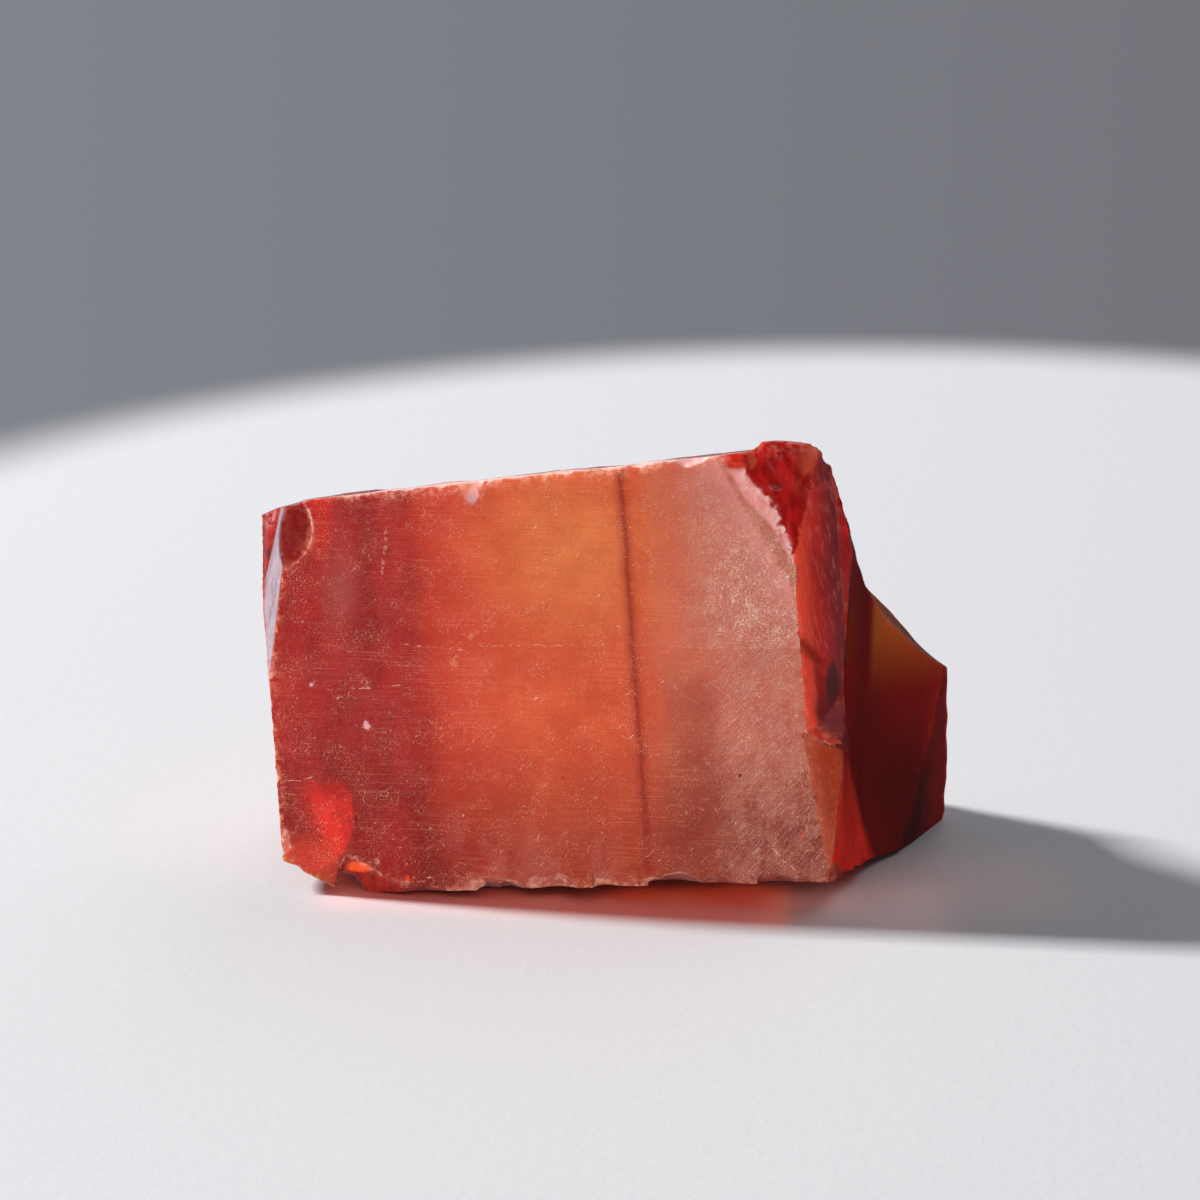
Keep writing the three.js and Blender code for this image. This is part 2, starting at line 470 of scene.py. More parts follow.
def tint(red, green, blue):
    """A colour given in the usual 0 to 255, as linear light."""
    parts = [part / 255 for part in (red, green, blue)]
    return tuple(p / 12.92 if p <= 0.04045 else ((p + 0.055) / 1.055) ** 2.4 for p in parts)


class Graph:
    """Short calls for the nodes of one material, or of the world."""

    def __init__(self, owner, shader="Principled BSDF"):
        owner.use_nodes = True
        self.owner = owner
        self.tree = owner.node_tree
        self.shader = self.tree.nodes[shader]

    def node(self, kind, inputs, **settings):
        made = self.tree.nodes.new("ShaderNode" + kind)
        for key, value in settings.items():
            setattr(made, key, value)
        for key, value in inputs.items():
            self.put(made.inputs[key], value)
        return made

    def put(self, socket, value):
        if isinstance(value, bpy.types.NodeSocket):
            self.tree.links.new(value, socket)
        elif socket.type == "RGBA":
            socket.default_value = (*value, 1)
        else:
            socket.default_value = value

    def maths(self, operation, *values):
        return self.node("Math", dict(enumerate(values)), operation=operation).outputs[0]

    def times(self, *values):
        total = values[0]
        for value in values[1:]:
            total = self.maths("MULTIPLY", total, value)
        return total

    def plus(self, *values):
        total = values[0]
        for value in values[1:]:
            total = self.maths("ADD", total, value)
        return total

    def either(self, first, second):
        """The higher of two numbers."""
        return self.maths("MAXIMUM", first, second)

    def absolute(self, value):
        return self.maths("ABSOLUTE", value)

    def centred(self, value):
        """A number about 0 to 1, moved to lie about 0."""
        return self.maths("SUBTRACT", value, 0.5)

    def vector(self, operation, first, second):
        made = self.node("VectorMath", {0: first, 1: second}, operation=operation)
        return made.outputs["Value" if operation == "DISTANCE" else "Vector"]

    def join(self, x, y, z=0.0):
        return self.node("CombineXYZ", {0: x, 1: y, 2: z}).outputs[0]

    def parts(self, vector):
        return self.node("SeparateXYZ", {0: vector}).outputs

    def rotated(self, vector, angle):
        """Turned about the third axis, by an angle in radians."""
        inputs = {"Vector": vector, "Angle": angle}
        return self.node("VectorRotate", inputs, rotation_type="Z_AXIS").outputs[0]

    def object_place(self):
        """The place on the object, in millimetres."""
        return self.vector("MULTIPLY", self.node("TexCoord", {}).outputs["Object"], (1 / MM,) * 3)

    def between(self, value, low, high):
        """Climbs smoothly from 0 at low to 1 at high, or falls where low is the higher."""
        made = self.node("MapRange", {0: value, 1: low, 2: high}, interpolation_type="SMOOTHSTEP")
        return made.outputs[0]

    def noise(self, place, size, detail=2.0, rough=0.5, warp=0.0, dimensions="3D"):
        """Cloudy noise about 0 to 1, with lumps of this size in millimetres, one for each axis."""
        size = (size,) * 3 if isinstance(size, (int, float)) else size
        inputs = {
            "Vector": self.vector("DIVIDE", place, size),
            "Scale": 1.0,
            "Detail": detail,
            "Roughness": rough,
            "Distortion": warp,
        }
        return self.node("TexNoise", inputs, noise_dimensions=dimensions).outputs[0]

    def flat_noise(self, flat, size, detail=2.0, rough=0.5, warp=0.0):
        """The same over the sawn face alone, along it and up it."""
        size = size if isinstance(size, (int, float)) else (*size, 1.0)
        return self.noise(flat, size, detail, rough, warp, "2D")

    def mix(self, share, first, second, blend="MIX"):
        inputs = {0: share, 6: first, 7: second}
        made = self.node("Mix", inputs, data_type="RGBA", blend_type=blend, clamp_factor=True)
        return made.outputs[2]

    def swap(self, colour, other, *shares):
        """The colour mixed with another, given in 0 to 255, by the product of the shares."""
        return self.mix(self.times(*shares), colour, tint(*other))

    def shaded(self, colour, other):
        """The colour multiplied by another, given in 0 to 255."""
        return self.mix(1.0, colour, tint(*other), "MULTIPLY")

    def ramp(self, value, low, high, stops):
        """Colours along a value, at places between low and high."""
        along = self.maths("DIVIDE", self.maths("SUBTRACT", value, low), high - low)
        made = self.node("ValToRGB", {0: along})
        ladder = made.color_ramp
        ladder.interpolation = "B_SPLINE"
        while len(ladder.elements) < len(stops):
            ladder.elements.new(0)
        for element, (place, colour) in zip(ladder.elements, stops):
            element.position = (place - low) / (high - low)
            element.color = (*tint(*colour), 1)
        return made.outputs[0]

    def stored(self, name):
        """A number stored on the mesh."""
        return self.node("Attribute", {}, attribute_name=name).outputs["Fac"]

    def reach(self, place, centre, radii):
        """How far each place lies from a centre, counted in radii."""
        near = self.vector("DIVIDE", self.vector("SUBTRACT", place, centre), radii)
        return self.vector("DISTANCE", near, (0.0, 0.0, 0.0))

    def blob(self, place, centre, radii, edge=0.2):
        """1 inside an ellipsoid, falling to 0 at its surface."""
        return self.between(self.reach(place, centre, radii), 1.0, edge)

    def cells(self, place):
        """Random flat cells about 1 across, and three random numbers for each of them."""
        made = self.node("TexVoronoi", {"Vector": place, "Scale": 1.0}, voronoi_dimensions="2D")
        return made.outputs, self.node("SeparateColor", {0: made.outputs["Color"]}).outputs

    def hairs(self, flat, size, width, share, bend, start):
        """Short curved hairlines, in a share of the cells of this size, in millimetres."""
        place = self.vector("DIVIDE", self.vector("ADD", flat, start), (size,) * 3)
        cell, picks = self.cells(place)
        away = self.vector("SUBTRACT", place, cell["Position"])
        along, across, _ = self.parts(self.rotated(away, self.maths("MULTIPLY", picks[0], math.pi)))
        bow = self.times(self.centred(picks[1]), bend, along, along)
        off = self.absolute(self.maths("ADD", across, bow))
        line = self.between(off, width / size, width / size * 0.3)
        ends = self.between(self.absolute(along), 0.42, 0.2)
        return self.times(line, ends, self.maths("LESS_THAN", picks[2], share))

    def specks(self, flat, size, radius, share):
        """Round specks, in a share of the cells of this size."""
        cell, picks = self.cells(self.vector("DIVIDE", flat, (size,) * 3))
        reach = self.times(self.plus(picks[1], 0.4), radius / size)
        dot = self.between(cell["Distance"], reach, self.times(reach, 0.4))
        return self.times(dot, self.maths("LESS_THAN", picks[0], share))


class Stone(Graph):
    """The stone's material, with the places, noises and masks that its parts share.

    x runs along the sawn face, height up it and depth behind it, in millimetres.
    """

    def __init__(self):
        super().__init__(bpy.data.materials.new("carnelian"))
        self.place = self.object_place()
        shift = (0.0, -FOOT_Y * math.cos(LEAN), -FOOT_Y * math.sin(LEAN))
        inputs = {"Vector": self.place, "Rotation": (LEAN, 0.0, 0.0), "Location": shift}
        self.turned = self.node("Mapping", inputs).outputs[0]
        self.x, self.depth, self.height = self.parts(self.turned)
        self.flat = self.join(self.x, self.height)
        for name in painted:
            setattr(self, name, self.stored(name))

        # Bands stand nearly upright and lean a little, all through the stone.
        wander = self.times(self.centred(self.noise(self.place, (3.0, 6.0, 9.0))), 1.3)
        self.band = self.plus(self.x, self.times(self.height, 0.111))
        self.soft_band = self.plus(self.band, wander)

        self.cloud = self.noise(self.place, 4.0, 3.0, 0.6)
        self.patch = self.noise(self.turned, (2.2, 5.0, 4.5), rough=0.55)
        self.fine = self.noise(self.place, 0.5, 3.0, 0.65)
        self.grains = self.between(self.fine, 0.4, 0.6)
        self.jag = self.times(self.centred(self.noise(self.turned, 1.2, 3.0, 0.6)), 0.5)
        self.bend = self.flat_noise(self.flat, 1.1)
        self.bent = self.vector("ADD", self.flat, self.times(self.bend, 0.9))
        self.crowd = self.between(self.flat_noise(self.flat, 2.3, 3.0, 0.65), 0.4, 0.64)
        self.streak = self.flat_noise(self.flat, (4.0, 0.13), rough=0.6)
        self.lilac = self.noise(self.turned, (0.3, 1.0, 2.4), rough=0.6)

    def wavy(self, value, much):
        """The value with a ragged edge."""
        return self.plus(value, self.times(self.jag, much))


# ---- material: the sawn face ----

# FLARE is painted glow: the colour of light coming through the stone.
FLARE = (250, 92, 44)  # orange, where light gets in behind the crack at the lower left


def banding(g):
    return g.ramp(g.soft_band, -30, 30, [
        (-28, (186, 58, 54)),
        (-23, (188, 44, 40)),
        (-19, (180, 46, 44)),
        (-16.6, (166, 40, 40)),
        (-14.8, (190, 50, 46)),
        (-13.3, (176, 42, 40)),
        (-11.8, (206, 64, 44)),
        (-8, (222, 88, 58)),
        (-2, (224, 100, 60)),
        (3.4, (216, 86, 52)),
        (5.5, (214, 110, 80)),
        (9, (206, 108, 86)),
        (13, (198, 106, 88)),
        (18, (186, 80, 62)),
        (30, (150, 44, 32)),
    ])


def glowing(g, bands):
    """The bands with painted glow high up, where light comes through the stone, and painted shade,
    darker and browner, towards the foot.
    """
    mottled = g.times(g.between(g.patch, 0.62, 0.34), g.between(g.band, -10.5, -13.5), 0.34)
    colour = g.mix(mottled, bands, g.shaded(bands, (186, 166, 184)))
    # Painted glow of light through the stone, high up and lower down, then a redder patch at the
    # upper left.
    for centre, radii, edge, share, shade in [
        ((-3.4, 0.0, 27.2), (11.0, 20.0, 11.0), 0.0, 0.75, (234, 134, 74)),
        ((-3.0, 0.0, 13.0), (9.0, 20.0, 7.0), 0.0, 0.4, (222, 92, 50)),
        ((-22.7, 0.0, 28.5), (1.3, 3.0, 5.0), 0.3, 0.6, (214, 40, 32)),
    ]:
        glow = g.blob(g.turned, centre, radii, edge)
        colour = g.swap(colour, shade, glow, share)
    # Painted shade: darker towards the foot and low on the right. The same colour also dulls one
    # band.
    dimmed = g.shaded(colour, (188, 152, 150))
    colour = g.mix(g.times(g.between(g.height, 15.0, 1.0), 0.95), colour, dimmed)
    low_left = g.blob(g.turned, (-16.8, 0.0, 3.0), (4.5, 6.0, 6.0), 0.0)
    colour = g.swap(colour, (206, 42, 36), low_left, 0.45)
    low_right = g.times(g.between(g.band, 2.0, 6.0), g.between(g.height, 16.0, 4.0))
    colour = g.mix(g.times(low_right, 0.85), colour, dimmed)
    dull_band = g.times(g.between(g.band, 5.2, 7.0), g.between(g.band, 10.6, 9.0),
                        g.between(g.height, 19.5, 15.0))
    colour = g.mix(g.times(dull_band, 0.4), colour, dimmed)
    return g.mix(g.between(g.cloud, 0.3, 0.75), g.shaded(colour, (238, 222, 222)), colour)


def frosted(g, colour):
    """Level saw lines, and tangled scratches that frost the right side.

    Also returns how far each place is inside the frosted side.
    """
    bright = g.times(g.between(g.streak, 0.52, 0.8), g.between(g.cloud, 0.35, 0.65), 0.28)
    colour = g.swap(colour, (236, 150, 110), bright)
    worn = g.shaded(colour, (220, 200, 196))
    colour = g.mix(g.times(g.between(g.streak, 0.46, 0.25), 0.26), colour, worn)

    upper = g.between(g.plus(g.height, g.times(g.x, -0.0385)), 19.4, 19.9)
    start = g.plus(8.2, g.times(upper, -1.2))
    ragged = g.plus(g.band, g.times(g.centred(g.cloud), 3.0))
    side = g.between(ragged, start, g.plus(start, 3.2))
    haze = g.between(g.flat_noise(g.flat, (1.3, 1.8), rough=0.6), 0.34, 0.7)
    low = g.between(g.height, 14.0, 5.0)
    frost = g.plus(0.12, g.times(haze, 0.26), g.times(upper, 0.06), g.times(low, -0.12))
    colour = g.swap(colour, (196, 132, 108), side, frost)

    combed = g.rotated(g.vector("ADD", g.bent, g.times(haze, 1.6)), 0.6)
    threads = g.between(g.flat_noise(combed, (0.08, 1.1), rough=0.65), 0.52, 0.72)
    share = g.plus(0.05, g.times(side, g.plus(0.33, g.times(upper, -0.16))))
    colour = g.swap(colour, (238, 192, 174), threads, share)

    curl = g.absolute(g.centred(g.flat_noise(g.flat, (0.4, 0.46), rough=0.6, warp=1.8)))
    dense = g.times(upper, g.between(g.height, 31.0, 25.0), g.between(g.band, 8.5, 12.0))
    tangle = g.times(side, g.plus(0.2, g.times(upper, 0.3), g.times(dense, 0.5)),
                     g.plus(0.4, g.times(haze, 0.6)))
    curls = g.between(curl, g.plus(0.026, g.times(dense, 0.02)), 0.0)
    colour = g.swap(colour, (255, 226, 210), curls, g.plus(0.08, tangle))

    left_dust = g.blob(g.turned, (-21.0, 0.0, 23.2), (2.2, 3.0, 4.5), 0.1)
    foot_dust = g.times(g.between(g.band, 2.5, 0.5), g.between(g.band, -13.0, -10.0),
                        g.between(g.height, 8.0, 3.0), g.between(g.patch, 0.35, 0.65))
    colour = g.swap(colour, (216, 134, 126), g.either(left_dust, foot_dust), 0.18)
    return g.swap(colour, (224, 146, 138), g.near_pink, 0.85), side


def dark_thread(g, colour):
    """A dark hairline along one band, with an orange feathered side."""
    sway = g.centred(g.noise(g.place, (2.0, 2.0, 1.6), rough=0.6))
    right_of = g.maths("SUBTRACT", g.plus(g.band, g.times(sway, 0.5)), 3.55)
    off = g.absolute(right_of)
    slant = g.plus(g.x, g.times(g.height, 0.7))
    barbs = g.flat_noise(g.join(slant, g.times(g.height, 0.12)), 0.22, rough=0.6)
    reach = g.plus(right_of, g.times(g.centred(barbs), 4.2))
    feather = g.times(g.between(reach, 2.2, 0.6), g.between(right_of, -0.1, 0.1),
                      g.between(g.height, 9.0, 18.0))
    colour = g.swap(colour, (208, 82, 42), feather, 0.45)
    colour = g.swap(colour, (160, 46, 34), g.between(off, 0.8, 0.0), 0.55)
    low = g.between(g.height, 11.0, 5.0)
    width = g.plus(0.14, g.times(g.bend, 0.26), g.times(low, 0.25))
    share = g.plus(0.28, g.times(barbs, 0.36), g.times(low, -0.06))
    return g.swap(colour, (124, 34, 29), g.between(off, width, 0.0), share)


def flare_reach(g):
    """How far each place lies from the orange flare, with a ragged outline."""
    return g.wavy(g.reach(g.flat, (-18.9, 2.1, 0.0), (1.1, 0.5, 1.0)), 1.5)


def lower_left(g, colour):
    """The corner low on the left has painted glow where light gets in behind a crack."""
    # Painted glow: red over the corner, hotter along a leaning streak, orange-red at the tip.
    reach = g.plus(g.reach(g.turned, (-22.5, 0.0, 5.6), (3.2, 9.0, 4.0)), g.times(g.jag, 0.35))
    lit = g.times(g.between(reach, 1.06, 0.92), g.between(g.wavy(g.x, 4), -24.8, -20.4),
                  g.between(g.wavy(g.height, 3), 9.6, 7.0))
    colour = g.swap(colour, (246, 52, 44), lit, g.plus(0.35, g.times(g.grains, 0.3)))
    leaning = g.join(g.plus(g.x, g.times(g.height, 0.45)), g.depth, g.height)
    hot = g.blob(leaning, (-18.8, 0.0, 5.6), (1.5, 9.0, 3.8), 0.1)
    colour = g.swap(colour, (250, 62, 50), hot, g.between(reach, 1.04, 0.84), 0.56)
    tip = g.blob(g.turned, (-23.0, 0.0, 2.4), (4.4, 9.0, 2.6), 0.3)
    colour = g.swap(colour, (222, 78, 52), tip, g.plus(0.25, g.times(g.fine, 0.5)))

    shelf = g.times(g.between(g.wavy(g.height, 2), 3.0, 2.4), g.between(g.x, -20.5, -20.2),
                    g.between(g.x, -16.6, -18.0))
    colour = g.swap(colour, (134, 44, 38), shelf, 0.7)
    # Painted orange glow beside the crack.
    colour = g.swap(colour, FLARE, g.between(flare_reach(g), 1.0, 0.6), 0.85)
    split = g.plus(g.x, g.times(g.height, -0.33), 20.85, g.jag)
    crack = g.times(g.between(g.height, 3.1, 2.8), g.between(g.absolute(split), 0.11, 0.03))
    return g.swap(colour, (74, 20, 18), crack, 0.85)


def saw_marks(g):
    """Dust, hairlines and specks left by the saw."""
    faint = g.times(g.hairs(g.bent, 0.34, 0.02, 0.26, 4.0, (3.1, 7.7, 0.0)),
                    g.plus(0.1, g.times(g.crowd, 0.75)))
    long_ones = g.times(g.hairs(g.bent, 0.9, 0.022, 0.15, 3.4, (5.9, 21.3, 0.0)),
                        g.plus(0.2, g.times(g.crowd, 0.7)))
    dots = g.times(g.specks(g.flat, 0.2, 0.03, 0.45), g.plus(0.1, g.times(g.crowd, 0.7)))
    big_dots = g.times(g.specks(g.bent, 0.5, 0.05, 0.2), g.plus(0.35, g.times(g.crowd, 0.65)))
    grit = g.between(g.flat_noise(g.flat, (0.11, 0.09), rough=0.7), 0.6, 0.72)
    marks = g.either(g.either(faint, long_ones), g.either(dots, big_dots))
    return g.either(marks, g.times(grit, g.plus(0.06, g.times(g.crowd, 0.44))))


# Scratches on the sawn face: both ends (along it and up it), width, strength.
SCRATCHES = [
    ((-16.5, 19.2), (-11.6, 18.9), 0.07, 0.45),
    ((-11.0, 19.3), (-4.0, 19.6), 0.05, 0.4),
    ((-4.0, 19.6), (3.0, 19.9), 0.06, 0.2),
    ((3.6, 19.8), (14.0, 20.1), 0.12, 0.22),
    ((-10.6, 20.3), (-9.2, 21.9), 0.06, 0.7),
    ((-9.9, 20.4), (-8.8, 21.6), 0.05, 0.5),
    ((-11.6, 20.1), (-10.5, 20.2), 0.05, 0.6),
    ((-21.7, 15.6), (-16.2, 16.1), 0.06, 0.6),
    ((-24.6, 8.4), (-22.6, 8.8), 0.05, 0.75),
    ((-17.6, 28.2), (-17.9, 24.2), 0.16, 0.35),
    ((12.2, 5.0), (14.4, 3.1), 0.05, 0.8),
    ((14.3, 12.0), (15.6, 3.2), 0.05, 0.3),
]
# Bruises and pits: place, radius, strength, colour.
SPOTS = [
    ((-22.8, 15.9), 0.36, 0.9, (240, 196, 202)),
    ((-18.6, 12.9), 0.38, 0.8, (240, 190, 196)),
    ((-12.2, 17.9), 0.4, 0.5, (226, 150, 104)),
    ((-11.0, 20.0), 0.35, 0.5, (226, 150, 104)),
    ((-4.65, 10.45), 0.12, 0.8, (90, 26, 24)),
    ((-3.55, 9.5), 0.2, 0.5, (110, 34, 30)),
    ((9.9, 10.2), 0.2, 0.85, (76, 26, 26)),
    ((14.87, 5.8), 0.2, 0.8, (250, 84, 44)),
    ((-15.1, 1.3), 0.35, 0.8, (255, 80, 40)),
    ((-11.3, 30.9), 0.9, 0.5, (244, 176, 160)),
]


def single_marks(g, colour):
    frayed = g.between(g.flat_noise(g.flat, 0.6, rough=0.7), 0.46, 0.6)
    wobble = g.times(g.centred(g.bend), 0.5)
    for start, end, width, share in SCRATCHES:
        half = math.dist(start, end) / 2
        lean = math.atan2(end[1] - start[1], end[0] - start[0])
        laid = g.rotated(g.vector("SUBTRACT", g.flat, (*start, 0.0)), -lean)
        along, across, _ = g.parts(laid)
        inside = g.between(g.absolute(g.plus(along, -half)), half + 0.1, half - 0.1)
        body = g.between(g.absolute(g.plus(across, wobble)), width, width * 0.3)
        colour = g.swap(colour, (248, 200, 170), body, inside, frayed, share)
    for spot, size, share, shade in SPOTS:
        near = g.vector("DISTANCE", g.vector("ADD", g.flat, g.times(g.jag, 0.5)), (*spot, 0.0))
        near = g.plus(near, g.times(g.centred(g.fine), size * 3.0))
        colour = g.swap(colour, shade, g.between(near, size, size * 0.3), share)
    return colour


# ---- material: the broken faces ----


def fractured(g, bands, sawn_colour):
    """Broken faces are deeper and wetter looking, and chipped pale beside the sawn face."""
    deep = g.swap(bands, (118, 14, 10), 0.58)
    deep = g.swap(deep, (160, 36, 20), g.between(g.cloud, 0.35, 0.7), 0.4)
    along = g.join(g.soft_band, g.times(g.depth, 0.15), g.times(g.height, 0.1))
    veins = g.noise(along, 1.3, rough=0.6)
    deep = g.swap(deep, (196, 78, 46), g.between(veins, 0.52, 0.72), 0.4)
    deep = g.swap(deep, (92, 12, 12), g.between(veins, 0.42, 0.26), 0.5)
    pinpricks = g.between(g.noise(g.place, 0.16, rough=0.6), 0.6, 0.74)
    deep = g.swap(deep, (214, 112, 84), pinpricks, 0.35)
    gritty = g.between(g.fine, 0.42, 0.62)
    fresh = g.swap(deep, (222, 124, 98), gritty)
    deep = g.mix(g.times(g.edge, 0.55), deep, fresh)
    pale = g.times(g.plus(0.16, g.times(gritty, 0.4)), g.between(g.x, 13.0, 1.0))
    chipped = g.mix(pale, sawn_colour, tint(240, 178, 156))
    deep = g.mix(g.times(g.between(g.bruise, 0.1, 0.6), 0.9), deep, chipped)
    # The top face by the rim is painted pale: painted sheen of the grazing top face, with powdery
    # grains.
    powder_and_sheen = g.plus(0.6, g.times(g.between(g.fine, 0.3, 0.55), 0.4))
    return g.swap(deep, (230, 194, 198), g.top_rim, powder_and_sheen)


def left_end(g, deep):
    """The shell at the lower left, the bevel painted grey-lilac for its sheen, its red tip, the
    scallop and the notch.
    """
    # The shell takes the painted orange glow by the crack.
    shell = g.mix(g.between(g.lilac, 0.35, 0.65), tint(134, 32, 26), tint(166, 44, 34))
    shell = g.swap(shell, FLARE, g.between(flare_reach(g), 1.1, 0.5))
    deep = g.mix(g.times(g.foot_chip, g.between(g.x, -11.8, -14.2)), deep, shell)
    # Painted sheen: the bevel is grey-lilac where it catches the light.
    bevel_sheen = g.plus(0.72, g.times(g.between(g.lilac, 0.3, 0.6), 0.23))
    deep = g.swap(deep, (160, 148, 160), g.bevel, bevel_sheen)

    beyond_tip = g.plus(g.x, g.times(g.height, -0.19), g.times(g.jag, 0.5))
    red_tip = g.times(g.bevel, g.between(beyond_tip, -31.25, -31.4))
    deep = g.mix(red_tip, deep, g.mix(g.grains, tint(140, 18, 18), tint(172, 34, 30)))
    # A dark grey spot at the red tip.
    dark_tip_spot = g.blob(g.turned, (-26.7, 1.2, 25.7), (0.45, 1.5, 0.7), 0.3)
    deep = g.swap(deep, (58, 40, 42), dark_tip_spot, red_tip, 0.8)
    tip_dust = g.blob(g.turned, (-27.2, 1.6, 28.6), (1.6, 2.5, 1.3), 0.0)
    dusty = g.times(tip_dust, g.between(g.fine, 0.42, 0.55), 0.8)
    deep = g.swap(deep, (236, 184, 172), dusty)

    notch = g.blob(g.turned, (-11.3, 0.2, 31.2), (1.0, 1.2, 1.6), 0.5)
    deep = g.swap(deep, (236, 184, 188), notch, g.plus(0.5, g.times(g.lilac, 0.4)))
    scallop = g.blob(g.turned, (-25.7, 0.4, 27.6), (4.5, 3.0, 5.0), 0.8)
    off_bevel = g.maths("SUBTRACT", 1.0, g.bevel)
    return g.swap(deep, (122, 20, 20), scallop, off_bevel, 0.6)


def pink_bevel(g, deep):
    """Frosted pink beside the sawn face, paler with painted sheen, whiter where it breaks off, and
    red at its top.
    """
    # The paler pink is partly painted sheen of the bevel catching the light.
    dust_and_sheen = g.between(g.noise(g.place, (0.5, 0.5, 1.0), rough=0.7), 0.35, 0.7)
    frost = g.mix(dust_and_sheen, tint(226, 138, 130), tint(240, 170, 164))
    crumbs = g.times(g.pink_end, g.between(g.fine, 0.42, 0.55))
    frost = g.swap(frost, (255, 222, 216), crumbs)
    red_top = g.mix(g.grains, tint(190, 38, 28), tint(206, 66, 46))
    below_top = g.between(g.wavy(g.height, 0.8), 33.7, 33.2)
    return g.mix(g.pink, deep, g.mix(below_top, red_top, frost))


def corner_and_ridge(g, deep):
    """Fresh red chips at the top right corner, and the ridge that runs down from them.

    Rays spread over both from where the blow fell; the pale ones carry painted highlights.
    """
    shard = g.noise(g.place, (1.1, 1.1, 2.4))
    from_fan = g.parts(g.vector("SUBTRACT", g.place, FAN))
    angle = g.maths("ARCTAN2", from_fan[2], from_fan[0])
    around = g.join(g.times(angle, 1.6), g.times(shard, 0.5), g.times(g.depth, 0.06))
    rays = g.noise(around, 0.42, rough=0.6)

    colour = g.mix(g.between(shard, 0.35, 0.65), tint(150, 18, 16), tint(184, 28, 24))
    # Painted highlights along the pale rays.
    colour = g.swap(colour, (196, 92, 92), g.between(rays, 0.54, 0.76), 0.45)
    colour = g.swap(colour, (112, 14, 14), g.between(rays, 0.44, 0.28), 0.45)
    brown = g.times(g.between(g.x, 12.6, 14.2), g.between(g.height, 31.0, 32.5))
    brown = g.times(brown, g.between(shard, 0.3, 0.6), 0.6)
    colour = g.swap(colour, (180, 82, 58), brown)
    dusted = g.times(g.edge, g.between(g.fine, 0.42, 0.6), g.between(g.height, 34.0, 35.0))
    colour = g.swap(colour, (226, 140, 130), dusted, 0.4)
    deep = g.mix(g.corner, deep, colour)

    fibres = g.noise(g.place, (0.35, 0.35, 3.5), rough=0.6)
    colour = g.mix(g.between(g.depth, 0.3, 2.2), tint(232, 76, 52), tint(190, 46, 42))
    # Deeper in, the ridge turns to a painted mauve sheen.
    colour = g.mix(g.between(g.depth, 1.8, 3.8), colour, tint(122, 44, 48))
    colour = g.swap(colour, (226, 110, 96), g.between(fibres, 0.5, 0.72), 0.35)
    # Painted highlights along the rays near the fan.
    near_fan = g.between(g.height, 25.0, 31.0)
    colour = g.swap(colour, (214, 96, 88), g.between(rays, 0.52, 0.7), near_fan, 0.2)
    break_line = g.wavy(g.plus(g.height, g.times(g.depth, 0.8)), 1.2)
    crack = g.times(g.between(break_line, 21.4, 20.6), g.between(break_line, 19.4, 20.4),
                    g.between(g.depth, 2.6, 1.6))
    colour = g.swap(colour, (112, 12, 12), crack, 0.7)
    below = g.times(g.between(break_line, 20.0, 19.4), g.between(g.depth, 0.9, 1.4), 0.8)
    colour = g.swap(colour, (140, 30, 30), below)
    grey = g.blob(g.place, (16.9, -4.8, 15.7), (0.85, 1.8, 2.8), 0.5)
    colour = g.swap(colour, (66, 42, 46), grey, 0.85)
    return g.mix(g.ridge, deep, colour)


def step_and_lip(g, deep):
    """The brown step under the ridge, with mauve above its lip, which is dark with painted shade.

    Also returns the mauve's share.
    """
    colour = g.mix(g.between(g.height, 13.0, 2.0), tint(170, 60, 36), tint(162, 66, 44))
    colour = g.swap(colour, (216, 124, 88), g.between(g.fine, 0.5, 0.7), 0.3)
    colour = g.swap(colour, (206, 116, 88), g.between(g.depth, 0.9, 0.1), 0.3)
    deep = g.mix(g.step, deep, colour)
    slanted = g.plus(g.height, g.times(g.x, 0.52), g.times(g.jag, 0.4))
    above_lip = g.between(slanted, 21.3, 21.6)
    mauve = g.times(g.between(g.depth, 0.5, 1.3), above_lip, g.between(g.height, 17.2, 15.2),
                    g.between(g.x, 13.0, 14.0), g.between(g.depth, 6.5, 5.5))
    deep = g.swap(deep, (108, 28, 34), mauve, 0.84)
    # Painted shade: the lip is red in front and dark deeper in, under the overhang.
    lip = g.mix(g.between(g.depth, 0.5, 1.0), tint(190, 46, 34), tint(100, 24, 30))
    return g.mix(g.times(g.step_top, 0.95), deep, g.mix(above_lip, colour, lip)), mauve


